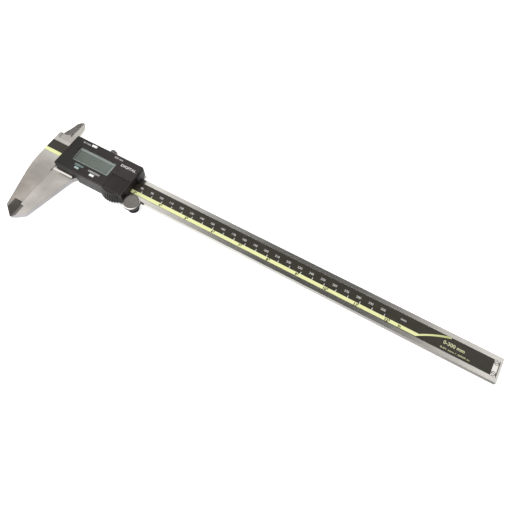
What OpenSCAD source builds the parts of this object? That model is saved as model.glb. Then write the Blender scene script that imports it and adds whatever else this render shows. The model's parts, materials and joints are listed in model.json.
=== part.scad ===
// Digital caliper. A steel beam carries the fixed jaws and the scale. A slider runs along it with the
// other jaws, a depth bar, the display housing, a clamping screw and a thumb roller.
// Lengths are in millimetres. +X points along the beam to its free end, +Y to the inside jaws, and
// +Z out of the display. Shapes are dimensioned from the measuring faces (x = 0), the middle of the
// beam (y = 0) and the beam's back (z = 0), then moved so the origin is the middle of the rest face.

/* [Beam] */
// Measuring range, which is also the travel of the slider
travel = 300; // [150:10:300]
// Width of the beam over its two rails
beam_w = 20; // [19.6:0.1:20.4]
// Thickness of the beam and of the jaws
beam_t = 4; // [3.8:0.1:4.2]
// Width of the channel that holds the scale
channel_w = 12.6; // [11.6:0.2:13]

/* [Jaws] */
// Reach of the outside jaws below the beam
jaw_depth = 64; // [50:1:70]
// Reach of the inside jaws above the beam
inside_h = 25.5; // [22:0.5:26]

/* [Slider] */
// Height of the housing above the beam's face
housing_h = 8.5; // [8.5:0.1:9.5]
// Wall thickness of the housing
wall = 1.2; // [1:0.1:1.3]

/* [Controls] */
// Diameter of the clamping screw's knob
lock_d = 6.5; // [6:0.5:7.5]
// Radius of the thumb roller's knob
roller_r = 7.35; // [6.8:0.05:7.4]
// Radius of the drive wheel that rolls on the beam's edge
wheel_r = 5.2; // [5:0.05:5.4]
// Height of a button above the housing, which is also its stroke
press = 0.5; // [0.3:0.1:0.5]

/* [Fits] */
// Sliding clearance between the slider and the beam
run = 0.04; // [0.02:0.01:0.06]
// Clearance round fixed pieces and pins
slip = 0.02; // [0.01:0.01:0.03]

/* [Hidden] */
$fn = 96;
bw = beam_w / 2;
bt = beam_t;
half_t = bt / 2;
head_x = -21;
beam_end = travel + 88;
end_screw_x = beam_end - 3.8;
end_bore_r = 1.75;
end_head_r = 1.4;
head_y = bw + 6;
knife_x = -10;
deck = bt + 0.2;
top = bt + housing_h;
ceiling = top - wall;
web_t = 1.8;
rest_z = -2.6;
rest_x = 38;
slider_x = 0.05;
slider_end = 71.4;
rail_end = 68.6;
rail_lo = -(bw + 6.5);
lo = -(bw + 7.3);
hi = bw + 5.8;
left = 2.2;
right = 71.5;
cap_x = 72.75;
corner_r = 3;
lock_x = 33.5;
lock_z = 1.6;
screw_at = [[8, -13.3], [47, -13.3], [8, 13.5], [66, 13.5]];
plate_screw_at = [[10, 8.5], [10, -8.5], [66, 8.5], [66, -8.5]];
bar_x = 58;
pin_at = [61, 66];
roller_x = 80;
roller_y = -(bw + wheel_r + 0.02);
knob_z = bt + 1;
cell_x = 61.4;
cell_y = -9.3;
cell_r = 5.8;
thumb_x = 60.3;
thumb_y = -7.2;
thumb_r = 15.1;
thumb_top_r = 12.6;
raised = 0.5;
shoulder_r = 90;
lcd_x = [10.8, 49.6];
lcd_y = [-7.2, 8.4];
window_x = [12.4, 49.9];
window_y = [-6.7, 7.3];
inch_button = [22.5, 12.9, 5.2, 2.1];
zero_button = [23, -12.6, 4.4, 1.9];
origin_button = [38.7, -12.7, 4.5, 2];

// Moves a shape to the part's frame: the origin is the middle of the face the slider rests on.
module placed() {
    translate([-rest_x, 0, -rest_z]) children();
}

// A box between two opposite corners.
module box(a, b) {
    translate(a) cube(b - a);
}

// A rectangle whose two top corners are chamfered.
module chamfered(w, h, c) {
    polygon([[0, 0], [w, 0], [w, h - c], [w - c, h], [c, h], [0, h - c]]);
}

// A box between two corners with rounded upright edges and a chamfer round the top.
module slab(a, b, r, c) {
    w = b.x - a.x;
    d = b.y - a.y;
    h = b.z - a.z;
    translate(a) {
        for (x = [r, w - r], y = [r, d - r]) translate([x, y, 0]) {
            cylinder(h = h - c, r = r);
            translate([0, 0, h - c]) cylinder(h = c, r1 = r, r2 = r - c);
        }
        translate([r, 0, 0]) rotate([90, 0, 90]) linear_extrude(w - 2 * r) chamfered(d, h, c);
        translate([0, d - r, 0]) rotate([90, 0, 0]) linear_extrude(d - 2 * r) chamfered(w, h, c);
    }
}

// A prism along Y between y0 and y1, whose section is given in x and z.
module prism_y(y0, y1, section) {
    translate([0, y1, 0]) rotate([90, 0, 0]) linear_extrude(y1 - y0) polygon(section);
}

// A round bar along Y from y0, as long as h.
module rod_y(x, y0, z, h, r) {
    translate([x, y0, z]) rotate([-90, 0, 0]) cylinder(h = h, r = r);
}

// Height on an outside jaw, as a fraction of its reach.
function jaw_y(f) = -bw - f * jaw_depth;

// Height on an inside jaw, as a fraction of its reach above the head.
function blade_y(f) = head_y + f * (inside_h - 6);

// ---- Beam ----

// Outline of the fixed outside jaw, with a curved shoulder that runs into a straight back.
module fixed_jaw() {
    shoulder = [for (a = [0:1:13])
        [head_x + shoulder_r * (1 - cos(a)), jaw_y(0.03) - shoulder_r * sin(a)]];
    polygon(concat(shoulder, [
        [knife_x, jaw_y(0.883)], [-0.8, jaw_y(1)], [-0.01, jaw_y(1)],
        [-0.01, jaw_y(0.203)], [-1, jaw_y(0.19)], [-1, -bw + 1], [head_x, -bw + 1]]));
}

// Outline of the fixed inside jaw, whose knife edge faces -X.
module fixed_blade() {
    polygon([[knife_x, head_y - 1], [knife_x, blade_y(0.93)], [knife_x + 0.7, blade_y(1)],
        [knife_x + 2.7, blade_y(0.87)], [knife_x + 4.6, blade_y(0.7)], [knife_x + 5.2, blade_y(0.49)],
        [knife_x + 5.4, blade_y(0.05)], [knife_x + 6.5, blade_y(0)], [knife_x + 6.5, head_y - 1]]);
}

module main_beam() color("silver") placed() difference() {
    union() {
        box([head_x, -bw, 0], [beam_end, bw, bt]);
        linear_extrude(bt) fixed_jaw();
        box([head_x, bw - 1, 0], [-0.05, head_y, bt]);
        linear_extrude(half_t - 0.02) fixed_blade();
    }
    // Scale channel in the face, and depth bar groove in the back
    box([head_x - 1, -channel_w / 2, bt - 1], [beam_end - 1.5, channel_w / 2, bt + 1]);
    box([bar_x - 3, -2.6, -1], [beam_end + 1, 2.6, 1.7]);
    // Recess in the head for the moving inside jaw's arm
    box([-17.9, bw, half_t - 0.02], [1, head_y + 1, bt + 1]);
    // Corner of the head
    translate([head_x, head_y, -1]) rotate([0, 0, 45]) box([-1, -1, 0], [1, 1, bt + 2]);
    // Knife edge on the back of the inside jaw
    prism_y(head_y + 1.5, head_y + 30, [[knife_x - 0.1, half_t - 0.25], [-3.3, -0.01], [-3.3, -1],
        [knife_x - 0.1, -1]]);
    // Thinned tip of the outside jaw, front and back
    prism_y(jaw_y(1.05), jaw_y(0.758), [[-7.8, bt], [0.1, bt - 1.35], [0.1, bt + 1], [-7.8, bt + 1]]);
    prism_y(jaw_y(1.05), jaw_y(0.758), [[-7.8, 0], [0.1, 1.35], [0.1, -1], [-7.8, -1]]);
    // Holes for the end plate's screws
    for (y = [-4.2, 4.2]) translate([end_screw_x, y, 1]) cylinder(h = bt, r = 0.8 + slip);
}

module scale_board() color("darkgreen") placed()
    box([head_x, -channel_w / 2 + 0.05, bt - 1], [travel + 82, channel_w / 2 - 0.05, bt - 0.2]);

module scale_label() color("black") placed()
    box([head_x, -channel_w / 2 + 0.05, bt - 0.2], [travel + 82, channel_w / 2 - 0.05, bt - 0.05]);

module end_stop_plate() color("lightgray") placed() difference() {
    box([beam_end - 5.7, -channel_w / 2 + 0.15, bt - 1], [beam_end - 2, channel_w / 2 - 0.15, bt]);
    for (y = [-4.2, 4.2]) translate([end_screw_x, y, bt - 1.5]) {
        cylinder(h = 2, r = 0.8 + slip);
        translate([0, 0, 0.8]) cylinder(h = 1, r = end_bore_r);
    }
}

module end_stop_screws() color("gray") placed() {
    for (y = [-4.2, 4.2]) translate([end_screw_x, y, 0]) difference() {
        union() {
            translate([0, 0, 1.1]) cylinder(h = bt - 1.2, r = 0.8);
            translate([0, 0, bt - 0.68]) cylinder(h = 0.6, r = end_head_r);
        }
        rotate([0, 0, 20 * sign(y)]) box([-2, -0.22, bt - 0.45], [2, 0.22, bt + 1]);
    }
}

// ---- Slider ----

// Outline of the moving outside jaw.
module moving_jaw() {
    polygon([[0.01, jaw_y(0.19)], [0.01, jaw_y(1)], [0.8, jaw_y(1)], [3, jaw_y(0.969)],
        [10, jaw_y(0.883)], [20, jaw_y(0.219)], [21.4, jaw_y(0.156)], [23.5, jaw_y(0.11)],
        [23.5, rail_lo + 1], [slider_x, rail_lo + 1], [slider_x, jaw_y(0.17)]]);
}

// Outline of the moving inside jaw, whose knife edge faces +X.
module moving_blade() {
    polygon([[knife_x, head_y - 1], [knife_x, blade_y(0.93)], [knife_x - 0.4, blade_y(0.98)],
        [knife_x - 2, blade_y(0.89)], [knife_x - 3.5, blade_y(0.76)], [knife_x - 4.5, blade_y(0.49)],
        [knife_x - 6.9, blade_y(0.03)], [knife_x - 7.5, blade_y(0)], [knife_x - 7.5, head_y - 1]]);
}

module slider_frame() color("silver") placed() difference() {
    union() {
        box([slider_x, rail_lo, -web_t], [slider_end, -bw - run, deck]);
        box([slider_x, bw + 1.3, -web_t], [rail_end, head_y, deck]);
        box([slider_x, rail_lo, -web_t], [slider_end, head_y, -0.05]);
        linear_extrude(bt) moving_jaw();
        // Ledge where the jaw meets the housing
        translate([slider_x, 0, 0]) rotate([90, 0, 90]) linear_extrude(20)
            polygon([[rail_lo + 1, bt - 1], [-bw - 9.8, bt - 1], [-bw - 9.8, bt], [-bw - 8.4, deck + 0.6],
                [-bw - 7.4, deck + 0.6], [-bw - 7.4, deck], [rail_lo + 1, deck]]);
        // Arm and blade of the inside jaw, in the front half of the thickness
        box([-17.5, bw + 0.1, half_t + 0.02], [1.5, head_y, bt]);
        translate([0, 0, half_t + 0.02]) linear_extrude(half_t - 0.02) moving_blade();
    }
    // Knife edge on the front of the inside jaw, which runs out in the arm
    intersection() {
        prism_y(head_y - 1, head_y + 30, [[knife_x - 6.6, bt], [knife_x + 0.1, half_t + 0.25],
            [knife_x + 0.1, bt + 1], [knife_x - 6.6, bt + 1]]);
        linear_extrude(bt + 1) polygon([[knife_x - 7, head_y - 0.8], [knife_x - 3.5, head_y - 0.6],
            [knife_x + 0.2, head_y + 1.8], [knife_x + 0.2, head_y + 30], [knife_x - 7, head_y + 30]]);
    }
    // Thinned tip of the outside jaw, front and back
    prism_y(jaw_y(1.05), jaw_y(0.797), [[3.5, bt], [-0.1, bt - 1.35], [-0.1, bt + 1], [3.5, bt + 1]]);
    prism_y(jaw_y(1.05), jaw_y(0.797), [[3.5, 0], [-0.1, 1.35], [-0.1, -1], [3.5, -1]]);
    // Bore for the clamping screw, and bores for the gib screws
    for (x = [14, lock_x, 57]) rod_y(x, bw, lock_z, 10, 1.5);
    // Housing screws, from the back
    for (p = screw_at) translate([p.x, p.y, -web_t - 1]) {
        cylinder(h = 10, r = 1 + slip);
        cylinder(h = 2.4, r = 1.9);
    }
    // Screws of the back plate and of the roller bracket, and the depth bar's pins
    for (p = plate_screw_at) translate([p.x, p.y, -web_t - 1]) cylinder(h = 4, r = 0.9 + slip);
    for (x = [65, 69.6]) translate([x, -bw - 3.6, -web_t - 1]) cylinder(h = 4, r = 0.9 + slip);
    for (x = pin_at) translate([x, 0, -web_t - 1]) cylinder(h = 4, r = 0.8 + slip);
}

module gib_strip() color("goldenrod") placed()
    box([2, bw + 0.03, 0.1], [rail_end - 1, bw + 1.15, bt - 0.1]);

module gib_screws() color("dimgray") placed() {
    for (x = [14, 57]) difference() {
        rod_y(x, bw + 1.17, lock_z, 4.6, 1.5 - slip);
        box([x - 2, bw + 5.2, lock_z - 0.25], [x + 2, bw + 6, lock_z + 0.25]);
    }
}

module clamp_pad() color("goldenrod") placed() rod_y(lock_x, bw + 1.17, lock_z, 1.4, 1.45);

module back_plate() color("lightgray") placed() difference() {
    translate([0, 0, -web_t]) mirror([0, 0, 1])
        slab([4, -11.2, 0], [72, 11.2, -rest_z - web_t], 1.5, 0.15);
    for (p = plate_screw_at) translate([p.x, p.y, rest_z - 0.01]) {
        cylinder(h = 2, r = 0.9 + slip);
        cylinder(h = 0.7, r1 = 1.6, r2 = 0.9 + slip);
    }
}

module back_plate_screws() color("gray") placed() {
    for (p = plate_screw_at) translate([p.x, p.y, 0]) difference() {
        union() {
            translate([0, 0, rest_z + 0.12]) cylinder(h = 0.56, r1 = 1.4, r2 = 0.9);
            translate([0, 0, rest_z + 0.6]) cylinder(h = -rest_z - 0.9, r = 0.9);
        }
        box([-2, -0.2, rest_z - 1], [2, 0.2, rest_z + 0.35]);
    }
}

module depth_bar() color("silver") placed() difference() {
    box([bar_x, -2.45, 0.12], [beam_end, 2.45, 1.58]);
    // Relieved corner at the free end
    box([beam_end - 6, 1, 0], [beam_end + 1, 3, 2]);
    for (x = pin_at) translate([x, 0, -1]) cylinder(h = 4, r = 0.8 + slip);
}

module depth_bar_pins() color("gray") placed() {
    for (x = pin_at) translate([x, 0, -web_t]) cylinder(h = web_t + 1.5, r = 0.8);
}

// ---- Electronics ----

module base_plate() color("dimgray") placed() difference() {
    box([left + wall + 0.1, lo + wall + 0.1, deck], [right - wall - 0.1, hi - wall - 0.1, deck + 1.2]);
    // Pocket for the sensor board, with a ledge above it
    box([8, -7, deck - 1], [50, 7, deck + 0.9]);
    box([9.5, -5.5, deck - 1], [48.5, 5.5, deck + 2]);
    for (p = screw_at) translate([p.x, p.y, 0]) cylinder(h = 10, r = 1 + slip);
}

module sensor_board() color("darkgreen") placed()
    box([8.1, -6.9, deck + 0.1], [49.9, 6.9, deck + 0.9]);

module pin_header() color("black") placed() {
    box([22, -1.2, deck + 1.1], [38, 1.2, deck + 1.9]);
    for (x = [23:2:37]) translate([x, 0, deck + 0.9]) cylinder(h = 1.2, r = 0.3);
}

// The board leaves the battery's corner free, and has a notch round each screw boss.
module main_board() color("darkgreen") placed() difference() {
    union() {
        box([4.4, lo + 1.5, deck + 2.1], [51, hi - 1.4, deck + 3.1]);
        box([50, -1.6, deck + 2.1], [68.2, hi - 1.4, deck + 3.1]);
    }
    for (p = screw_at) translate([p.x, p.y, 0]) {
        cylinder(h = 12, r = 2.3);
        box([-2.3, p.y > 0 ? 0 : -4, 0], [2.3, p.y > 0 ? 4 : 0, 12]);
    }
    for (y = [lo, screw_at[2].y]) box([0, y, 0], [8, y + 4, 12]);
}

module main_chip() color("black") placed() box([55, 1, deck + 3.1], [62, 8, deck + 4.1]);

// A frame that holds the display glass in a pocket.
module lcd_frame() color("dimgray") placed() difference() {
    box([lcd_x[0] - 1.2, lcd_y[0] - 1.3, deck + 3.1], [lcd_x[1] + 1.8, lcd_y[1] + 1.3, deck + 6.3]);
    box([lcd_x[0] - 0.1, lcd_y[0] - 0.1, deck + 4.8], [lcd_x[1] + 0.1, lcd_y[1] + 0.1, deck + 7]);
    box([lcd_x[0] + 0.6, lcd_y[0] + 0.3, deck + 3], [lcd_x[1] - 0.6, lcd_y[1] - 0.3, deck + 7]);
}

module lcd_panel() color("darkseagreen") placed()
    box([lcd_x[0], lcd_y[0], deck + 4.8], [lcd_x[1], lcd_y[1], deck + 6.3]);

module zebra_strips() color("slategray") placed() {
    for (y = [lcd_y[0] + 0.5, lcd_y[1] - 1.9])
        box([lcd_x[0] + 1, y, deck + 3.1], [lcd_x[1] - 1, y + 1.4, deck + 4.8]);
}

module lcd_window() color("lightgray", 0.4) placed() {
    box([window_x[0] - 1.2, window_y[0] - 1.2, ceiling - 0.6],
        [window_x[1] + 1.2, window_y[1] + 1.2, ceiling]);
    box([window_x[0], window_y[0], ceiling - 0.3], [window_x[1], window_y[1], top - 0.12]);
}

module button_pads() color("white") placed() {
    for (b = [inch_button, zero_button, origin_button]) translate([b.x, b.y, deck + 3.1]) {
        box([-1.6, -1, 0], [1.6, 1, 0.5]);
        cylinder(h = 2.2, r = 0.9);
    }
}

module battery() color("silver") placed() translate([cell_x, cell_y, deck + 1.6]) {
    cylinder(h = 1, r = 4.9);
    translate([0, 0, 0.6]) cylinder(h = 4.7, r = cell_r);
}

module battery_contacts() color("goldenrod") placed() {
    // Leaf under the cell, with a raised finger, and an upright strip beside it
    box([cell_x - 4, cell_y - 1.5, deck + 1.2], [cell_x + 4, cell_y + 1.5, deck + 1.5]);
    box([cell_x - 1, cell_y - 1, deck + 1.4], [cell_x + 1, cell_y + 1, deck + 1.6]);
    box([cell_x - 2.5, cell_y + cell_r, deck + 1.2], [cell_x + 2.5, cell_y + cell_r + 0.4, deck + 6]);
}

module data_connector() color("black") placed() difference() {
    box([63.6, 4.4, deck + 3.1], [right - 2.8, 11, deck + 6.3]);
    for (y = [5.6:1.4:9.8]) box([66, y - 0.3, deck + 4], [70, y + 0.3, deck + 5.4]);
}

// The corner by the data port, rounded alike in the wall and in the port's cover.
module corner_cut() difference() {
    box([cap_x - corner_r, hi - corner_r, 0], [cap_x + 1, hi + 1, top + 1]);
    translate([cap_x - corner_r, hi - corner_r, -1]) {
        cylinder(h = top + 0.4, r = corner_r);
        translate([0, 0, top + 0.4]) cylinder(h = 0.6, r1 = corner_r, r2 = corner_r - 0.6);
    }
}

module housing() color("#3a3838") placed() difference() {
    union() {
        difference() {
            slab([left, lo, bt + 0.25], [right, hi, top], 1, 0.6);
            box([left + wall, lo + wall, 0], [right - wall, hi - wall, ceiling]);
        }
        for (p = screw_at) translate([p.x, p.y, deck + 1.25]) cylinder(h = ceiling - deck - 1, r = 2);
        // Skirt that covers the side of the slider's rail
        box([24.2, lo, -web_t + 0.1], [right - 0.5, lo + 0.75, bt + 1]);
        // Shoulder that rises to the battery cover
        translate([51.6, 0, 0]) rotate([90, 0, 90]) linear_extrude(right - 0.6 - 51.6)
            polygon([[-2.3, ceiling], [2.6, ceiling], [2.6, top], [-2.3, top + raised]]);
    }
    // Display opening
    box([window_x[0] - 0.05, window_y[0] - 0.05, 0], [window_x[1] + 0.05, window_y[1] + 0.05, top + 1]);
    // Battery opening, through the face and the lower wall
    box([52.4, lo - 1, deck + 1.3], [right - wall, -2.3, top + 1]);
    // Data port
    box([right - 2, 4.2, deck + 3], [right + 1, 11.2, deck + 6.5]);
    for (b = [inch_button, zero_button, origin_button]) translate([b.x, b.y, top])
        box([-b[2] / 2 - 0.1, -b[3] / 2 - 0.1, -4], [b[2] / 2 + 0.1, b[3] / 2 + 0.1, 1]);
    for (p = screw_at) translate([p.x, p.y, deck]) cylinder(h = 5, r = 0.85 + slip);
    corner_cut();
}

module housing_screws() color("gray") placed() {
    for (p = screw_at) translate([p.x, p.y, 0]) difference() {
        union() {
            translate([0, 0, -web_t + 0.2]) cylinder(h = 1.2, r = 1.75);
            translate([0, 0, -web_t + 1]) cylinder(h = web_t + deck + 3.5, r = 0.85);
        }
        for (a = [0, 90]) rotate([0, 0, a]) box([-1.1, -0.2, -web_t - 1], [1.1, 0.2, -web_t + 0.8]);
    }
}

// ---- Roller ----

module roller_bracket() color("#333344") placed() difference() {
    union() {
        box([60, roller_y - 1.2, -web_t - 0.7], [roller_x, -bw - 1.5, -web_t]);
        translate([roller_x, roller_y, -web_t - 0.7]) cylinder(h = 0.7, r = 4.8);
        translate([roller_x, roller_y, -web_t - 0.1]) cylinder(h = web_t + 0.95, r = 3.4);
        // Upright, strip over the wheel, and a lip that runs along the beam's edge
        box([72.4, -bw - 3, -web_t - 0.7], [74.2, -bw - 0.1, bt + 0.8]);
        box([72.4, -bw - 1.5, bt + 0.4], [87.8, -bw - 0.06, bt + 0.8]);
        box([86, -bw - 0.9, bt - 1.6], [87.8, -bw - 0.06, bt + 0.8]);
    }
    translate([roller_x, roller_y, -5]) cylinder(h = 10, r = 1.5 + slip);
    translate([roller_x, roller_y, -web_t - 1]) cylinder(h = 0.9, r = 2.4);
    for (x = [65, 69.6]) translate([x, -bw - 3.6, -web_t - 1]) cylinder(h = 4, r = 0.9 + slip);
}

module bracket_screws() color("gray") placed() {
    for (x = [65, 69.6]) translate([x, -bw - 3.6, 0]) difference() {
        translate([0, 0, -web_t - 0.69]) cylinder(h = 2.2, r = 0.9);
        box([-2, -0.2, -4], [2, 0.2, -web_t - 0.4]);
    }
}

module roller_axle() color("silver") placed() translate([roller_x, roller_y, 0]) {
    translate([0, 0, -web_t - 0.6]) cylinder(h = web_t + bt + 3, r = 1.5);
    translate([0, 0, -web_t - 0.6]) cylinder(h = 0.5, r = 2.35);
}

module thumb_roller() color("silver") placed() translate([roller_x, roller_y, 0]) difference() {
    union() {
        translate([0, 0, knob_z]) cylinder(h = 2.2, r = roller_r);
        translate([0, 0, knob_z + 2.2]) cylinder(h = 0.7, r1 = roller_r, r2 = roller_r - 0.7);
        translate([0, 0, 0.95]) cylinder(h = knob_z - 0.85, r = 3.5);
    }
    cylinder(h = bt + 2.6, r = 1.5 + 0.03);
    for (a = [0:12:359]) rotate([0, 0, a])
        translate([roller_r + 0.15, 0, knob_z - 1]) cylinder(h = 3, r = 0.35, $fn = 24);
    // Shallow dish in the face
    translate([0, 0, knob_z + 2.7]) cylinder(h = 1, r = roller_r - 0.95);
}

module roller_wheel() color("#222222") placed() translate([roller_x, roller_y, 0.95]) difference() {
    cylinder(h = bt - 0.72, r = wheel_r);
    translate([0, 0, -1]) cylinder(h = bt + 2, r = 3.5 + slip);
}

// ---- Controls ----

module lock_screw() color("silver") placed() difference() {
    union() {
        rod_y(lock_x, bw + 2.62, lock_z, 6, 1.45);
        rod_y(lock_x, head_y + 0.05, lock_z, 1.2, 2.3);
        rod_y(lock_x, head_y + 1.1, lock_z, 5.2, lock_d / 2);
        translate([lock_x, head_y + 6.3, lock_z]) rotate([-90, 0, 0])
            cylinder(h = 0.5, r1 = lock_d / 2, r2 = lock_d / 2 - 0.5);
    }
    for (a = [0:15:359]) translate([lock_x, 0, lock_z]) rotate([0, a, 0])
        rod_y(lock_d / 2 + 0.12, head_y + 1.6, 0, 4.2, 0.35);
}

// A push button: a cap that stands out of the housing, on a flange that keeps it in.
module button(b) {
    translate([b.x, b.y, 0]) {
        slab([-b[2] / 2, -b[3] / 2, ceiling - 0.3], [b[2] / 2, b[3] / 2, top + press], 0.4, 0.25);
        box([-b[2] / 2 - 0.5, -b[3] / 2 - 0.4, ceiling - 0.9],
            [b[2] / 2 + 0.5, b[3] / 2 + 0.3, ceiling - 0.02]);
    }
}

module inch_mm_button() color("white") placed() button(inch_button);

module zero_button() color("teal") placed() button(zero_button);

module origin_button() color("white") placed() button(origin_button);

module battery_cover() color("#3a3838") placed() difference() {
    union() {
        slab([52.5, lo - 0.1, ceiling + 0.1], [right - wall - 0.1, -2.4, top + raised], 1.6, 0.5);
        box([52.5, lo - 0.1, deck + 1.4], [right - wall - 0.1, lo + wall, ceiling + 0.2]);
        difference() {
            translate([thumb_x, thumb_y, bt - 1]) cylinder(h = top - bt + 1, r1 = thumb_r, r2 = thumb_top_r);
            box([40, lo - 0.05, 0], [80, 10, 20]);
            box([right - 0.1, -40, 0], [80, 0, 20]);
        }
    }
    // Hollow behind the thumb rest
    difference() {
        translate([thumb_x, thumb_y, bt - 1.01])
            cylinder(h = top - bt, r1 = thumb_r - 1.5, r2 = thumb_top_r - 1.5);
        box([40, lo - 0.9, 0], [80, 10, 20]);
    }
    // Grip grooves, which lean with the side of the thumb rest
    for (a = [-126:9:-54]) translate([thumb_x, thumb_y, bt - 1]) rotate([0, 0, a])
        translate([thumb_r, 0, 0]) rotate([0, atan((thumb_top_r - thumb_r) / (top - bt + 1)), 0])
            box([-0.7, -0.5, -1], [1, 0.5, 8.4]);
}

// A cap over the data port that ends the housing, with a plug that fits the opening.
module data_port_cover() color("#4a4a4c") placed() {
    difference() {
        intersection() {
            slab([right - 4, 3.6, bt + 0.3], [cap_x, hi, top], 1, 0.6);
            box([right + 0.05, 0, 0], [80, 20, 20]);
        }
        corner_cut();
    }
    box([right - 2.4, 4.4, deck + 3.2], [right + 0.5, 11, deck + 6.3]);
}

main_beam();
scale_board();
scale_label();
end_stop_plate();
end_stop_screws();
slider_frame();
gib_strip();
gib_screws();
clamp_pad();
back_plate();
back_plate_screws();
depth_bar();
depth_bar_pins();
base_plate();
housing();
housing_screws();
sensor_board();
pin_header();
main_board();
main_chip();
lcd_panel();
lcd_frame();
lcd_window();
zebra_strips();
button_pads();
battery();
battery_contacts();
data_connector();
roller_bracket();
bracket_screws();
roller_axle();
lock_screw();
thumb_roller();
roller_wheel();
inch_mm_button();
zero_button();
origin_button();
battery_cover();
data_port_cover();
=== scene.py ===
import json

import bmesh
import bpy
from mathutils import Matrix, Vector


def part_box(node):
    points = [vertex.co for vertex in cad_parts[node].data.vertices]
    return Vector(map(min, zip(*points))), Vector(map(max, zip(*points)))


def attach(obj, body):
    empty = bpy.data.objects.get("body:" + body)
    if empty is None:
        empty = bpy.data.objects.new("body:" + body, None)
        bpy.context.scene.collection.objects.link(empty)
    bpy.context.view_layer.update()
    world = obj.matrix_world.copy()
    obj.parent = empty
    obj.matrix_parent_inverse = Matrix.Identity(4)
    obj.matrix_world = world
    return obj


# Looks of a long digital caliper, closed and lying on its back. Lengths in the code below are in
# millimetres from the caliper's own datum: x from the closed measuring faces along the beam, y from
# the beam's centre line, z from the beam's back. at() turns them into metres in the frame. The floor's
# size and the lamp are in metres.

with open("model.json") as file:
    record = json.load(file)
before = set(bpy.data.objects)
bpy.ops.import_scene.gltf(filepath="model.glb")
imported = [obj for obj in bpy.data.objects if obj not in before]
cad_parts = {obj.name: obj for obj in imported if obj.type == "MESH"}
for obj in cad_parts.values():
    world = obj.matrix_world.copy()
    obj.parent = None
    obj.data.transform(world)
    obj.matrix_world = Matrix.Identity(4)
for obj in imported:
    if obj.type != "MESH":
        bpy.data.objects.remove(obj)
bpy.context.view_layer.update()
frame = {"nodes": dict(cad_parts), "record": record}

MM = 0.001
INCH = 25.4
RANGE = 300
# From the beam's closed end to the measuring faces
HEAD = 21.0
BEAM_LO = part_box("main_beam")[0]
FACE_X = BEAM_LO.x + HEAD * MM
BACK_Z = BEAM_LO.z


def at(x, y, z):
    """A point in the frame, from millimetres at the caliper's datum."""
    return Vector((FACE_X + x * MM, y * MM, BACK_Z + z * MM))


def from_datum(point):
    """Millimetres at the caliper's datum, from a point in the frame."""
    return (point.x - FACE_X) / MM, point.y / MM, (point.z - BACK_Z) / MM


# ---- Node helpers ----

MATERIALS = {}


def new_material(name):
    """An empty node material: its node tree and the input that takes its shader."""
    material = bpy.data.materials.new(name)
    material.use_nodes = True
    MATERIALS[name] = material
    tree = material.node_tree
    tree.nodes.clear()
    return tree, tree.nodes.new("ShaderNodeOutputMaterial").inputs[0]


def new_surface(name):
    """A material with a Principled surface: its node tree and the surface node."""
    tree, output = new_material(name)
    surface = tree.nodes.new("ShaderNodeBsdfPrincipled")
    tree.links.new(surface.outputs[0], output)
    return tree, surface


def noise(tree, scale, detail=3.0, stretch=(1, 1, 1)):
    """Noise in the piece's own coordinates, with scale in features per metre: its 0 to 1 output.
    stretch below 1 along an axis draws the features out along it."""
    place = tree.nodes.new("ShaderNodeTexCoord")
    mapping = tree.nodes.new("ShaderNodeMapping")
    mapping.inputs["Scale"].default_value = stretch
    texture = tree.nodes.new("ShaderNodeTexNoise")
    texture.inputs["Scale"].default_value = scale
    texture.inputs["Detail"].default_value = detail
    tree.links.new(place.outputs["Object"], mapping.inputs["Vector"])
    tree.links.new(mapping.outputs[0], texture.inputs["Vector"])
    return texture.outputs[0]


def remap(tree, value, low, high, from_low=0.3, from_high=0.7, clamp=True):
    """A value spread over a new range. The old range is that of noise unless it is given."""
    node = tree.nodes.new("ShaderNodeMapRange")
    node.clamp = clamp
    node.inputs["From Min"].default_value = from_low
    node.inputs["From Max"].default_value = from_high
    node.inputs["To Min"].default_value = low
    node.inputs["To Max"].default_value = high
    tree.links.new(value, node.inputs["Value"])
    return node.outputs[0]


def blend(tree, factor, a, b):
    """A colour between two, by a 0 to 1 factor. Each is a fixed colour or the output of a node."""
    mix = tree.nodes.new("ShaderNodeMix")
    mix.data_type = "RGBA"
    tree.links.new(factor, mix.inputs["Factor"])
    for socket, colour in (("A", a), ("B", b)):
        if isinstance(colour, tuple):
            mix.inputs[socket].default_value = (*colour, 1)
        else:
            tree.links.new(colour, mix.inputs[socket])
    return mix.outputs["Result"]


def multiply(tree, a, b):
    """The product of two colours or values, as a colour."""
    node = tree.nodes.new("ShaderNodeVectorMath")
    node.operation = "MULTIPLY"
    tree.links.new(a, node.inputs[0])
    tree.links.new(b, node.inputs[1])
    return node.outputs[0]


def mix_shaders(tree, factor, a, b):
    """A shader between two, by a 0 to 1 factor."""
    mix = tree.nodes.new("ShaderNodeMixShader")
    for socket, source in zip(mix.inputs, (factor, a, b)):
        tree.links.new(source, socket)
    return mix.outputs[0]


def seen_and_mirrored(tree, seen, mirrored):
    """One shader for direct view and soft light, and another for what shiny surfaces mirror."""
    path = tree.nodes.new("ShaderNodeLightPath")
    return mix_shaders(tree, path.outputs["Is Glossy Ray"], seen, mirrored)


def along(tree, axis):
    """The coordinate of each place in millimetres, or how far its face looks up ("slope") or along the
    beam ("side"), 0 to 1."""
    split = tree.nodes.new("ShaderNodeSeparateXYZ")
    if axis in ("slope", "side"):
        geometry = tree.nodes.new("ShaderNodeNewGeometry")
        tree.links.new(geometry.outputs["True Normal"], split.inputs[0])
        return split.outputs["Z" if axis == "slope" else "X"]
    place = tree.nodes.new("ShaderNodeTexCoord")
    tree.links.new(place.outputs["Object"], split.inputs[0])
    zero = at(0, 0, 0)["XYZ".index(axis)]
    return remap(tree, split.outputs[axis], 0, 1, zero, zero + MM, False)


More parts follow.
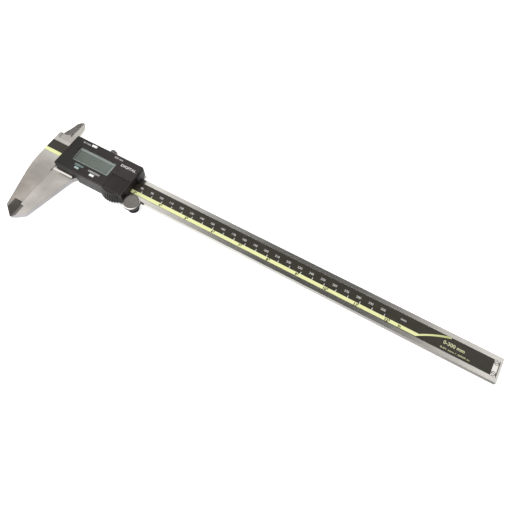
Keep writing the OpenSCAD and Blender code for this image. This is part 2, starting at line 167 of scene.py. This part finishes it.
def faded(tree, tint, fades):
    """A colour multiplied along axes. Each fade is (axis, from, to, shade below, shade above)."""
    for axis, start, end, below, above in fades:
        factor = remap(tree, along(tree, axis), 0, 1, start, end)
        tint = multiply(tree, tint, blend(tree, factor, below, above))
    return tint


def rounded_edges(tree, radius):
    """The normal of edges rounded to this radius in millimetres, and how worn each place is, 0 to 1."""
    bevel = tree.nodes.new("ShaderNodeBevel")
    bevel.samples = 4
    bevel.inputs["Radius"].default_value = radius * MM
    geometry = tree.nodes.new("ShaderNodeNewGeometry")
    dot = tree.nodes.new("ShaderNodeVectorMath")
    dot.operation = "DOT_PRODUCT"
    tree.links.new(bevel.outputs[0], dot.inputs[0])
    tree.links.new(geometry.outputs["Normal"], dot.inputs[1])
    return bevel.outputs[0], remap(tree, dot.outputs["Value"], 1.0, 0.0, 0.75, 0.98)


def crevices(tree, reach):
    """Painted shade that darkens places with other faces within this reach in millimetres."""
    node = tree.nodes.new("ShaderNodeAmbientOcclusion")
    node.samples = 6
    node.inputs["Distance"].default_value = reach * MM
    return remap(tree, node.outputs["AO"], 0.1, 1.0, 0.45, 0.95)


def bump(tree, surface, height, strength, depth, normal=None):
    """Connects a bump of this depth in millimetres to a surface."""
    node = tree.nodes.new("ShaderNodeBump")
    node.inputs["Strength"].default_value = strength
    node.inputs["Distance"].default_value = depth * MM
    tree.links.new(height, node.inputs["Height"])
    if normal is not None:
        tree.links.new(normal, node.inputs["Normal"])
    tree.links.new(node.outputs[0], surface.inputs["Normal"])


def grey(value):
    """A colour without hue."""
    return (value, value, value)


# ---- Kinds of material ----

# Noise in features per metre
GRINDING = 9000
STREAKS = 420
STEEL_CLOUD = 60
STEEL_PATCH = 65
MOULD_GRAIN = 4200
MOULD_CLOUD = 90
GLOSS_GRAIN = 6000
GLOSS_CLOUD = 220
WINDOW_CLOUD = 500
FLOOR_CLOUD = 6

# On steel: how far the painted shade in its corners reaches, how far the edge of the patched area fades,
# and the stretch of the noise space along the streaks
CORNER_SHADE_REACH = 0.8
PATCH_EDGE = 4
STREAK_STRETCH = 0.06


def steel(name, dark, light, rough, grain, edge=0.2, streak=0.05, fades=(), patches=None):
    """Ground steel, with painted shade in its corners. grain is the direction of the grinding lines as a
    stretch of the noise space. Large soft patches lie where y is lower than the first of the two patches
    values, with the second as their depth."""
    tree, surface = new_surface(name)
    surface.inputs["Metallic"].default_value = 1.0
    lines = noise(tree, GRINDING, 2.0, grain)
    streaks = noise(tree, STREAKS, 3.0, tuple(STREAK_STRETCH if g < 1 else g for g in grain))
    tint = blend(tree, remap(tree, noise(tree, STEEL_CLOUD, 2.0), 0, 1, 0.35, 0.65), dark, light)
    tint = multiply(tree, tint, remap(tree, streaks, 1 - streak, 1 + streak))
    tint = faded(tree, tint, fades)
    if patches:
        start, depth = patches
        place = remap(tree, along(tree, "Y"), 1, 0, start - PATCH_EDGE, start)
        patch = blend(tree, remap(tree, noise(tree, STEEL_PATCH, 1.5), 0, 1, 0.36, 0.64),
                      grey(1 - depth), grey(1 + depth))
        tint = multiply(tree, tint, blend(tree, place, grey(1), patch))
    tint = multiply(tree, tint, crevices(tree, CORNER_SHADE_REACH))
    tree.links.new(tint, surface.inputs["Base Color"])
    tree.links.new(remap(tree, lines, rough - 0.05, rough + 0.06), surface.inputs["Roughness"])
    bump(tree, surface, lines, strength=0.2, depth=0.002, normal=rounded_edges(tree, edge)[0])


def moulded(name, dark, light, rough, grain_depth=0.02, edge=0.35, wear=(0.07, 0.065, 0.06),
            shine=0.42, fades=()):
    """Moulded plastic or rubber with a fine spark-eroded grain, paler where edges are handled."""
    tree, surface = new_surface(name)
    surface.inputs["Specular IOR Level"].default_value = shine
    grain = noise(tree, MOULD_GRAIN, 4.0)
    normal, worn = rounded_edges(tree, edge)
    tint = blend(tree, remap(tree, noise(tree, MOULD_CLOUD), 0, 1), dark, light)
    tint = faded(tree, blend(tree, worn, tint, wear), fades)
    tree.links.new(tint, surface.inputs["Base Color"])
    tree.links.new(remap(tree, grain, rough - 0.07, rough + 0.07), surface.inputs["Roughness"])
    bump(tree, surface, grain, strength=0.5, depth=grain_depth, normal=normal)


def gloss(name, dark, light, rough, fades=()):
    """Smooth plastic, film or ink with a faint unevenness."""
    tree, surface = new_surface(name)
    grain = noise(tree, GLOSS_GRAIN, 2.0)
    tint = blend(tree, remap(tree, noise(tree, GLOSS_CLOUD), 0, 1), dark, light)
    tree.links.new(faded(tree, tint, fades), surface.inputs["Base Color"])
    tree.links.new(remap(tree, grain, rough - 0.05, rough + 0.05), surface.inputs["Roughness"])
    bump(tree, surface, grain, strength=0.2, depth=0.003)


def clear(name, tint, ior):
    """A thin clear lens: light passes straight through, and the outer surface mirrors a little."""
    tree, output = new_material(name)
    through = tree.nodes.new("ShaderNodeBsdfTransparent")
    through.inputs["Color"].default_value = (*tint, 1)
    mirror = tree.nodes.new("ShaderNodeBsdfGlossy")
    tree.links.new(remap(tree, noise(tree, WINDOW_CLOUD), 0.04, 0.1), mirror.inputs["Roughness"])
    fresnel = tree.nodes.new("ShaderNodeFresnel")
    fresnel.inputs["IOR"].default_value = ior
    geometry = tree.nodes.new("ShaderNodeNewGeometry")
    outside = remap(tree, geometry.outputs["Backfacing"], 1, 0, 0, 1)
    factor = tree.nodes.new("ShaderNodeMath")
    factor.operation = "MULTIPLY"
    tree.links.new(fresnel.outputs[0], factor.inputs[0])
    tree.links.new(outside, factor.inputs[1])
    tree.links.new(mix_shaders(tree, factor.outputs[0], through.outputs[0], mirror.outputs[0]), output)


# ---- Metals ----

ALONG_X = (0.01, 1, 1)
ALONG_Y = (1, 0.02, 1)
EVEN = (1, 1, 1)
SAME = grey(1)

# The beam and its jaws: duller below the beam, with painted shade above it that a painted highlight lifts
# again at the upper jaw's tip, and painted shade on bevels
steel("ground_steel", (0.59, 0.58, 0.558), (0.66, 0.645, 0.618), 0.2, ALONG_X,
      streak=0.03, patches=(-12, 0.1),
      fades=(("Y", -15, -8, (0.84, 0.81, 0.79), SAME),
             ("Y", -36, -20, (0.88, 0.87, 0.865), SAME),
             ("Y", -60, -45, grey(0.93), SAME),
             ("Y", 10, 12, SAME, (0.72, 0.71, 0.7)),
             ("Y", 15, 17, SAME, (1.25, 1.26, 1.27)),
             ("slope", 0.98, 0.995, (0.72, 0.71, 0.69), SAME)))

# The slider and its jaws: pale at the lower tip, with painted shade on the walls that face along the beam.
# The shallow bevel of the upper jaw gets a painted highlight, and steeper faces a little painted shade.
steel("jaw_steel", (0.5, 0.474, 0.448), (0.58, 0.55, 0.522), 0.24, ALONG_Y,
      streak=0.02, patches=(-12, 0.08),
      fades=(("Y", -62, -40, (1.16, 1.16, 1.18), SAME),
             ("slope", 0.4, 0.6, (1.08, 1.09, 1.12), SAME),
             ("side", 0.3, 0.6, SAME, (0.5, 0.5, 0.51)),
             ("slope", 0.95, 0.96, grey(0.62), SAME),
             ("slope", 0.975, 0.985, (1.45, 1.46, 1.48), SAME)))

# The thumb roller: a bright chamfer between a grey dish and sides blackened with painted shade
steel("roller_steel", (0.6, 0.585, 0.57), (0.7, 0.685, 0.67), 0.3, EVEN,
      streak=0.12,
      fades=(("slope", 0.3, 0.4, grey(0.02), SAME),
             ("slope", 0.85, 0.95, SAME, (0.34, 0.33, 0.32))))

steel("bright_steel", (0.66, 0.65, 0.63), (0.74, 0.73, 0.71), 0.3, ALONG_X)
# The end stop's plate: a brighter copy of the steel, as painted highlight
steel("highlit_plate_steel", (0.94, 0.93, 0.89), (1.0, 0.99, 0.95), 0.3, ALONG_X)
steel("screw_steel", (0.48, 0.472, 0.464), (0.544, 0.536, 0.528), 0.35, EVEN, edge=0.1)
# The end stop's screws: a brighter copy of the screw steel, as painted highlight
steel("highlit_end_screw_steel", (0.86, 0.85, 0.82), (0.94, 0.93, 0.9), 0.3, EVEN, edge=0.1)
steel("lock_steel", (0.288, 0.28, 0.272), (0.352, 0.344, 0.336), 0.35, EVEN, edge=0.15)
steel("dark_steel", (0.065, 0.06, 0.088), (0.095, 0.088, 0.12), 0.45, EVEN)
steel("brass", (0.5, 0.36, 0.144), (0.576, 0.432, 0.192), 0.35, ALONG_X)


# ---- Plastics and rubbers ----

BLACK = ((0.0165, 0.014, 0.0135), (0.024, 0.0203, 0.0197))

# The housing: painted light that grows towards its far end, and painted shade on its sides
moulded("black_plastic", *BLACK, 0.5, shine=0.3,
        fades=(("X", 0, 63, (0.72, 0.82, 0.76), (1.75, 1.7, 1.75)),
               ("slope", 0.3, 0.7, grey(0.4), SAME)))
# The battery cover: painted shade on its sides
moulded("cover_plastic", *BLACK, 0.5, shine=0.3,
        fades=(("slope", 0.3, 0.7, grey(0.6), SAME),))
# The port cover: painted shade across the beam, its own dark grey beyond
moulded("dark_grey_plastic", (0.026, 0.0253, 0.026), (0.036, 0.035, 0.036), 0.55, shine=0.3,
        fades=(("Y", 8.5, 10.5, (0.2, 0.18, 0.18), SAME),))
moulded("inner_plastic", grey(0.02), grey(0.03), 0.6)
moulded("white_plastic", (0.8, 0.8, 0.79), (0.88, 0.88, 0.87), 0.4,
        grain_depth=0.01, edge=0.2, wear=grey(0.9))
moulded("teal_plastic", (0.31, 0.41, 0.385), (0.37, 0.47, 0.44), 0.4,
        grain_depth=0.01, edge=0.2, wear=(0.4, 0.52, 0.5))
moulded("grey_rubber", (0.3, 0.31, 0.32), (0.36, 0.37, 0.38), 0.7)
moulded("black_rubber", grey(0.022), grey(0.03), 0.65, grain_depth=0.03)
gloss("circuit_board", (0.015, 0.10, 0.04), (0.02, 0.14, 0.055), 0.35)


# ---- Display and printing ----

gloss("display", (0.125, 0.14, 0.125), (0.14, 0.155, 0.14), 0.35,
      fades=(("X", 11, 50, grey(0.84), grey(1.2)),
             ("Y", -7, 2, grey(0.93), SAME)))
# The display glass's paler margin, with a painted highlight on it
gloss("display_margin_and_highlight", (0.35, 0.36, 0.345), (0.39, 0.4, 0.385), 0.35)
clear("clear_window", (0.94, 0.96, 0.95), 1.4)
gloss("printed_film", (0.022, 0.019, 0.012), (0.03, 0.026, 0.017), 0.4)
gloss("ink_yellow", (0.75, 0.77, 0.37), (0.79, 0.81, 0.4), 0.45,
      fades=(("X", 328, 348, SAME, (0.62, 0.63, 0.55)),))
gloss("ink_white", (0.55, 0.55, 0.54), (0.62, 0.62, 0.61), 0.5)
gloss("ink_grey", (0.42, 0.42, 0.41), (0.48, 0.48, 0.47), 0.5)
gloss("ink_olive", (0.55, 0.55, 0.33), (0.65, 0.65, 0.4), 0.5)
gloss("ink_dark", (0.012, 0.012, 0.006), (0.02, 0.02, 0.012), 0.5)
gloss("ink_teal", (0.18, 0.28, 0.265), (0.22, 0.33, 0.315), 0.5)


# ---- Materials of the CAD pieces ----

# Pieces that look unlike the rest of their material slot
SPECIAL_LOOKS = {
    "slider_frame": "jaw_steel",
    "lock_screw": "lock_steel",
    # The end stop's plate and screws take the brighter steel that paints a highlight on them
    "end_stop_plate": "highlit_plate_steel",
    "end_stop_screws": "highlit_end_screw_steel",
    "battery_cover": "cover_plastic",
}


def dress_cad_pieces():
    """Gives each CAD piece the material of its slot, or its own special look."""
    for part in frame["record"]["subparts"]:
        look = SPECIAL_LOOKS.get(part["node"], part["material_slot"])
        mesh = frame["nodes"][part["node"]].data
        mesh.materials.clear()
        mesh.materials.append(MATERIALS[look])


# ---- Printing ----

INK = 0.02
# Letters are made this much thicker on each side of their middle before they are scaled to the ink
LETTER_HALF = 0.5
WELD = 1e-7


def slab(form, outline, z):
    """Adds a thin printed shape with this outline that lies on height z."""
    low = [form.verts.new(at(x, y, z)) for x, y in outline]
    high = [form.verts.new(at(x, y, z + INK)) for x, y in outline]
    form.faces.new(high)
    form.faces.new(list(reversed(low)))
    for i in range(len(outline)):
        j = (i + 1) % len(outline)
        form.faces.new([low[i], low[j], high[j], high[i]])


def bar(form, x0, y0, x1, y1, z):
    """Adds a thin printed rectangle."""
    slab(form, [(x0, y0), (x1, y0), (x1, y1), (x0, y1)], z)


def write(form, text, x, y, z, height, align=0.0, width=None, weight=0.012):
    """Adds printed characters of this height. align is 0 to start at x, 0.5 to centre and 1 to end there.
    weight thickens the strokes, as a share of the letter height."""
    curve = bpy.data.curves.new("text", "FONT")
    curve.body = text
    curve.extrude = LETTER_HALF
    curve.resolution_u = 3
    curve.offset = weight
    holder = bpy.data.objects.new("text", curve)
    bpy.context.scene.collection.objects.link(holder)
    bpy.context.view_layer.update()
    mesh = bpy.data.meshes.new_from_object(holder.evaluated_get(bpy.context.evaluated_depsgraph_get()))
    bpy.data.objects.remove(holder)
    xs = [v.co.x for v in mesh.vertices]
    ys = [v.co.y for v in mesh.vertices]
    size_y = height / (max(ys) - min(ys))
    size_x = width / (max(xs) - min(xs)) if width else size_y
    start = x - align * (max(xs) - min(xs)) * size_x
    for v in mesh.vertices:
        v.co = at(start + (v.co.x - min(xs)) * size_x, y + (v.co.y - min(ys)) * size_y,
                  z + INK * (v.co.z + LETTER_HALF))
    form.from_mesh(mesh)
    bpy.data.meshes.remove(mesh)


def printed(name, form, look, body):
    """Puts a finished form in the scene as one piece that rides on a body."""
    bmesh.ops.remove_doubles(form, verts=form.verts, dist=WELD)
    bmesh.ops.recalc_face_normals(form, faces=form.faces)
    mesh = bpy.data.meshes.new(name)
    form.to_mesh(mesh)
    form.free()
    mesh.materials.append(MATERIALS[look])
    piece = bpy.data.objects.new(name, mesh)
    bpy.context.scene.collection.objects.link(piece)
    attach(piece, body)


EDGE_TOP = 3.0
EDGE_SIDE = 2.0
EDGE_LOW = 2.0


def make_display_edge():
    """The paler edge of the display glass, partly its own lighter margin and partly a painted highlight:
    wide along the top, narrow on the other sides.
    """
    lo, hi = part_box("lcd_panel")
    x0, y0 = from_datum(lo)[:2]
    x1, y1, z = from_datum(hi)
    form = bmesh.new()
    bar(form, x0, y1 - EDGE_TOP, x1, y1, z)
    bar(form, x0, y0, x0 + EDGE_SIDE, y1 - EDGE_TOP, z)
    bar(form, x1 - EDGE_SIDE, y0, x1, y1 - EDGE_TOP, z)
    bar(form, x0 + EDGE_SIDE, y0, x1 - EDGE_SIDE, y0 + EDGE_LOW, z)
    printed("display_margin_and_highlight", form, "display_margin_and_highlight", "slider")


LABEL_HALF, LABEL_TOP = from_datum(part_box("scale_label")[1])[1:]
LABEL_MARGIN = 0.05
BAND_TOP = -2.85
BAND_LOW = -LABEL_HALF + 0.02

# The line that sweeps up at the band's end: its ends, half its width, and the curve of its middle
SWEEP_FROM = RANGE + 26
SWEEP_TO = RANGE + 50
SWEEP_STEPS = 24
SWEEP_HALF = 0.8
SWEEP_ORIGIN = (RANGE + 30, -2.4)
SWEEP_SLOPE = 0.58
SWEEP_BEND = 0.008


def sweep_y(x):
    """Height of the middle of the line that sweeps up from the coloured band."""
    u = x - SWEEP_ORIGIN[0]
    return SWEEP_ORIGIN[1] + SWEEP_SLOPE * u - SWEEP_BEND * u * u


def make_band():
    """The coloured band under the millimetre scale, with the line that sweeps up at its end."""
    start = -HEAD + LABEL_MARGIN
    top = LABEL_HALF - LABEL_MARGIN
    step = (SWEEP_TO - SWEEP_FROM) / SWEEP_STEPS
    xs = [SWEEP_FROM + step * i for i in range(SWEEP_STEPS + 1)]
    lower = [(x, max(BAND_LOW, min(top, sweep_y(x) - SWEEP_HALF))) for x in xs]
    upper = [(x, max(BAND_TOP, min(top, sweep_y(x) + SWEEP_HALF))) for x in xs]
    form = bmesh.new()
    slab(form, [(start, BAND_LOW), *lower, *reversed(upper), (start, BAND_TOP)], LABEL_TOP)
    printed("print_band", form, "ink_yellow", "beam")


# Each number ends a small gap before its tick, and the unit stands after the last one
TICK_HALF = 0.3
UNIT_X = RANGE + 12
MM_STEP = 10
MM_TICK_TOP = -0.9
MM_NUMBER_Y = 0.75
MM_NUMBER_HEIGHT = 1.9
MM_NUMBER_GAP = 0.5
MM_UNIT_HEIGHT = 1.4
INCHES = 12
INCH_TICK_LOW = -4.7
INCH_NUMBER_Y = -5.75
INCH_NUMBER_HEIGHT = 2.5
INCH_NUMBER_GAP = 0.7
INCH_UNIT_Y = -5.4
INCH_UNIT_HEIGHT = 2.2
INCH_WEIGHT = 0.04


def make_mm_scale():
    """The millimetre scale in white over the band."""
    ticks = bmesh.new()
    numbers = bmesh.new()
    for x in range(MM_STEP, RANGE + 1, MM_STEP):
        bar(ticks, x - TICK_HALF, BAND_TOP, x + TICK_HALF, MM_TICK_TOP, LABEL_TOP)
        write(numbers, str(x), x - MM_NUMBER_GAP, MM_NUMBER_Y, LABEL_TOP, MM_NUMBER_HEIGHT, align=1.0)
    write(numbers, "mm", UNIT_X, MM_NUMBER_Y, LABEL_TOP, MM_UNIT_HEIGHT)
    printed("print_mm_ticks", ticks, "ink_white", "beam")
    printed("print_mm_numbers", numbers, "ink_white", "beam")


def make_inch_scale():
    """The inch scale in dark ink on the band."""
    z = LABEL_TOP + INK
    form = bmesh.new()
    for inch in range(1, INCHES + 1):
        x = inch * INCH
        bar(form, x - TICK_HALF, INCH_TICK_LOW, x + TICK_HALF, BAND_TOP, z)
        write(form, str(inch), x - INCH_NUMBER_GAP, INCH_NUMBER_Y, z, INCH_NUMBER_HEIGHT, align=1.0,
              weight=INCH_WEIGHT)
    write(form, "in", UNIT_X, INCH_UNIT_Y, z, INCH_UNIT_HEIGHT, weight=INCH_WEIGHT)
    printed("print_inch_scale", form, "ink_dark", "beam")


# The port cover is level with the housing's face, while the housing's shoulder stands above it
HOUSING_FACE = from_datum(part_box("data_port_cover")[1])[2]

# Generic words, each as (text, x, y, letter height, width, weight): the range and resolution at the end
# of the label, and the words beside the buttons and on the housing
RANGE_WORDS = (("0-300 mm", RANGE + 45.5, -0.8, 3.0, 16, 0.02),
               ("0.01 mm / .0005 in", RANGE + 44.5, -4.4, 1.2, 22, 0.02))
BUTTON_WORDS = (("in / mm", 11.2, 11.7, 1.8, 7.5, 0.035),
                ("ORIGIN", 33.0, -10.7, 1.8, 11.5, 0.035),
                ("0.01 mm", 44.0, 11.8, 1.8, 8.5, 0.035))
TITLE_WORDS = (("DIGITAL", 53.7, 7.3, 2.4, 15, 0.03),)
ZERO_WORDS = (("ZERO", 18.7, -10.6, 1.9, 9.0, 0.035),)


def make_words(name, words, z, look, body):
    """Printed words as one piece."""
    form = bmesh.new()
    for text, x, y, height, width, weight in words:
        write(form, text, x, y, z, height, width=width, weight=weight)
    printed(name, form, look, body)


dress_cad_pieces()
make_display_edge()
make_band()
make_mm_scale()
make_inch_scale()
make_words("print_range", RANGE_WORDS, LABEL_TOP, "ink_olive", "beam")
make_words("print_legends", BUTTON_WORDS, HOUSING_FACE, "ink_grey", "slider")
make_words("print_digital", TITLE_WORDS, HOUSING_FACE, "ink_white", "slider")
make_words("print_zero", ZERO_WORDS, HOUSING_FACE, "ink_teal", "slider")


# ---- Floor ----

FLOOR_HALF = 4.0
FLOOR_GAP = 0.1
FLOOR_GLOW = 0.55
# Metal mirrors the floor brighter on the left than under the beam's far end: the light at both ends, and
# where it fades from one to the other
FLOOR_MIRRORED = (1.78, 0.5)
FLOOR_FADE = (170, 400)


def make_floor():
    """A plain pale floor just under the rest face."""
    tree, output = new_material("floor")
    surface = tree.nodes.new("ShaderNodeBsdfPrincipled")
    tint = blend(tree, noise(tree, FLOOR_CLOUD), (0.93, 0.93, 0.925), (0.95, 0.95, 0.945))
    tree.links.new(tint, surface.inputs["Base Color"])
    surface.inputs["Roughness"].default_value = 0.9
    surface.inputs["Specular IOR Level"].default_value = 0.0
    surface.inputs["Emission Color"].default_value = (1, 1, 1, 1)
    surface.inputs["Emission Strength"].default_value = FLOOR_GLOW
    place = tree.nodes.new("ShaderNodeNewGeometry")
    split = tree.nodes.new("ShaderNodeSeparateXYZ")
    tree.links.new(place.outputs["Position"], split.inputs[0])
    fade = remap(tree, split.outputs["X"], *FLOOR_MIRRORED, *(at(x, 0, 0).x for x in FLOOR_FADE))
    mirrored = tree.nodes.new("ShaderNodeEmission")
    tree.links.new(fade, mirrored.inputs["Strength"])
    tree.links.new(seen_and_mirrored(tree, surface.outputs[0], mirrored.outputs[0]), output)
    form = bmesh.new()
    bmesh.ops.create_grid(form, x_segments=1, y_segments=1, size=FLOOR_HALF)
    mesh = bpy.data.meshes.new("floor")
    form.to_mesh(mesh)
    form.free()
    mesh.materials.append(MATERIALS["floor"])
    floor = bpy.data.objects.new("floor", mesh)
    floor.location.z = -FLOOR_GAP * MM
    bpy.context.scene.collection.objects.link(floor)


# ---- Studio ----

SOFT_LIGHT = 0.85
# The patch of dark ceiling in the space of directions: its centre and the size of its oval
DARK_CENTRE = (-0.095, 0.02)
DARK_SIZE = (0.31, 0.55)
# The light that metal mirrors at each distance from that centre, in sizes of the oval
DARK_REACH = 4.0
MIRRORED = [(0.0, 0.035), (0.7, 0.045), (0.8, 0.11), (0.92, 0.25), (1.04, 0.48), (1.14, 0.95), (1.26, 1.4),
            (1.36, 1.3), (1.5, 1.05), (1.7, 0.85), (2.3, 0.66), (2.8, 0.27), (3.2, 0.2)]
MIRRORED_TINT = (1, 0.985, 0.955)
# Directions in front of the caliper mirror more light: up to this much at this y
FRONT_LIGHT = 2.2
FRONT_Y = -0.35


def make_world():
    """A bright studio. Metal mirrors a dark patch of ceiling, wider than high, with light all round it."""
    world = bpy.data.worlds.new("studio")
    bpy.context.scene.world = world
    world.use_nodes = True
    tree = world.node_tree
    tree.nodes.clear()
    output = tree.nodes.new("ShaderNodeOutputWorld")
    place = tree.nodes.new("ShaderNodeTexCoord")
    oval = tree.nodes.new("ShaderNodeMapping")
    oval.vector_type = "TEXTURE"
    oval.inputs["Location"].default_value = (*DARK_CENTRE, 0)
    oval.inputs["Scale"].default_value = (*DARK_SIZE, 1)
    flat = tree.nodes.new("ShaderNodeVectorMath")
    flat.operation = "MULTIPLY"
    flat.inputs[1].default_value = (1, 1, 0)
    reach = tree.nodes.new("ShaderNodeVectorMath")
    reach.operation = "LENGTH"
    tree.links.new(place.outputs["Generated"], oval.inputs["Vector"])
    tree.links.new(oval.outputs[0], flat.inputs[0])
    tree.links.new(flat.outputs[0], reach.inputs[0])
    ramp = tree.nodes.new("ShaderNodeValToRGB")
    tree.links.new(remap(tree, reach.outputs["Value"], 0, 1, 0, DARK_REACH), ramp.inputs[0])
    while len(ramp.color_ramp.elements) < len(MIRRORED):
        ramp.color_ramp.elements.new(0.5)
    for element, (distance, value) in zip(ramp.color_ramp.elements, MIRRORED):
        element.position = distance / DARK_REACH
        element.color = (*(value * channel for channel in MIRRORED_TINT), 1)
    split = tree.nodes.new("ShaderNodeSeparateXYZ")
    tree.links.new(place.outputs["Generated"], split.inputs[0])
    front = remap(tree, split.outputs["Y"], FRONT_LIGHT, 1.0, FRONT_Y, 0.0)
    mirrored = tree.nodes.new("ShaderNodeBackground")
    tree.links.new(ramp.outputs[0], mirrored.inputs["Color"])
    tree.links.new(front, mirrored.inputs["Strength"])
    soft = tree.nodes.new("ShaderNodeBackground")
    soft.inputs["Color"].default_value = (1, 1, 1, 1)
    soft.inputs["Strength"].default_value = SOFT_LIGHT
    tree.links.new(seen_and_mirrored(tree, soft.outputs[0], mirrored.outputs[0]), output.inputs[0])


KEY_AT = Vector((-0.25, -0.35, 0.9))
KEY_TARGET = Vector((0.1, 0, 0))
KEY_SIZE = 0.9
KEY_POWER = 5.0


def make_key_light():
    """A soft square lamp above, to the left and in front, that doesn't show in reflections."""
    data = bpy.data.lights.new("key", "AREA")
    data.size = KEY_SIZE
    data.energy = KEY_POWER
    lamp = bpy.data.objects.new("key", data)
    bpy.context.scene.collection.objects.link(lamp)
    lamp.location = KEY_AT
    lamp.rotation_euler = (KEY_TARGET - KEY_AT).to_track_quat("-Z", "Y").to_euler()
    lamp.visible_glossy = False
    lamp.visible_camera = False


# ---- Camera ----

# Where the camera is, the direction it looks in, and the direction of the picture's right
CAMERA_AT = (280.69, -168.74, 364.17)
CAMERA_VIEW = (-0.21985, 0.40177, -0.88896)
CAMERA_RIGHT = (0.86976, 0.49342, 0.00791)
SENSOR = 36.0
LENS = 36.31


def make_camera():
    """The camera, high in front of the beam and turned so that the beam falls to the right."""
    data = bpy.data.cameras.new("camera")
    data.sensor_width = SENSOR
    data.lens = LENS
    data.clip_start = 0.01
    camera = bpy.data.objects.new("camera", data)
    bpy.context.scene.collection.objects.link(camera)
    view = Vector(CAMERA_VIEW).normalized()
    right = Vector(CAMERA_RIGHT)
    right = (right - view * right.dot(view)).normalized()
    up = right.cross(view)
    turn = Matrix((right, up, -view)).transposed().to_4x4()
    camera.matrix_world = Matrix.Translation(at(*CAMERA_AT)) @ turn
    bpy.context.scene.camera = camera


make_floor()
make_world()
make_key_light()
make_camera()
bpy.context.scene.view_settings.view_transform = "Standard"
